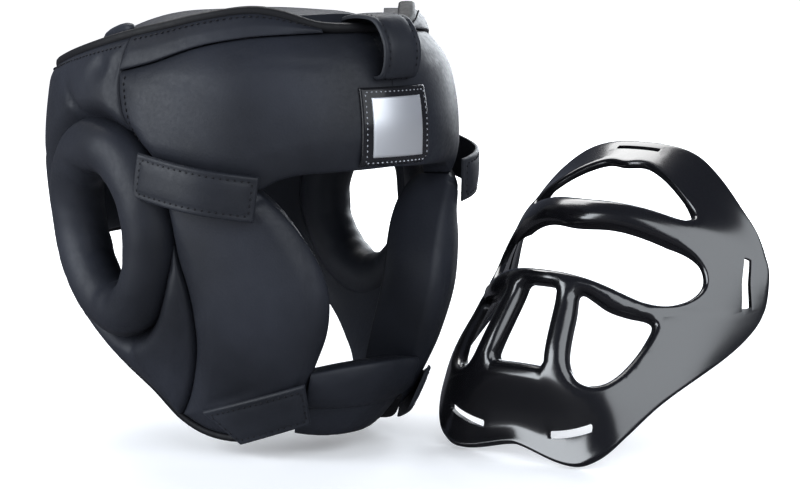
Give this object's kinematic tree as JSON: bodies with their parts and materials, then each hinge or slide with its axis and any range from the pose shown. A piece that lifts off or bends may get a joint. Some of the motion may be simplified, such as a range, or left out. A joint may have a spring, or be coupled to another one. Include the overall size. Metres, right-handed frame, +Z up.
{
  "type": "sparring headgear",
  "caption": "Padded leather sparring headgear with an open face, ear rings, strap tabs and chin pad, and a detached moulded face shield with open bars beside it",
  "frame": {"origin": "where the crown pad rests on the top of the wearer's head, on the axis of the headgear", "axes": "+Z up, the face looks along -Y, the wearer's left is +X, the wearer's right is -X"},
  "size_m": [0.3169, 0.3689, 0.2521],
  "materials": {
    "pad_leather": "soft satin",
    "tab_leather": "soft satin",
    "edge_binding": "satin",
    "patch_film": "silvery gloss, plain",
    "shield_plastic": "high gloss"
  },
  "bodies": {
    "root": {"brow_pad_right": "pad_leather", "brow_pad_left": "pad_leather", "upper_strip_right": "pad_leather", "upper_strip_left": "pad_leather", "cheek_pad_right": "pad_leather", "cheek_pad_left": "pad_leather", "side_panel_right": "pad_leather", "side_panel_left": "pad_leather", "back_panel": "pad_leather", "ear_ring_right": "pad_leather", "ear_ring_left": "pad_leather", "chin_pad": "pad_leather", "chin_flap": "pad_leather", "crown_pad": "pad_leather", "crown_roll": "pad_leather", "temple_tab_right": "tab_leather", "temple_tab_left": "tab_leather", "chin_tab_right": "tab_leather", "chin_tab_left": "tab_leather", "forehead_tab": "tab_leather", "rim_binding": "edge_binding", "lower_binding": "edge_binding", "brow_patch": "patch_film", "face_shield": "shield_plastic"}
  },
  "joints": []
}
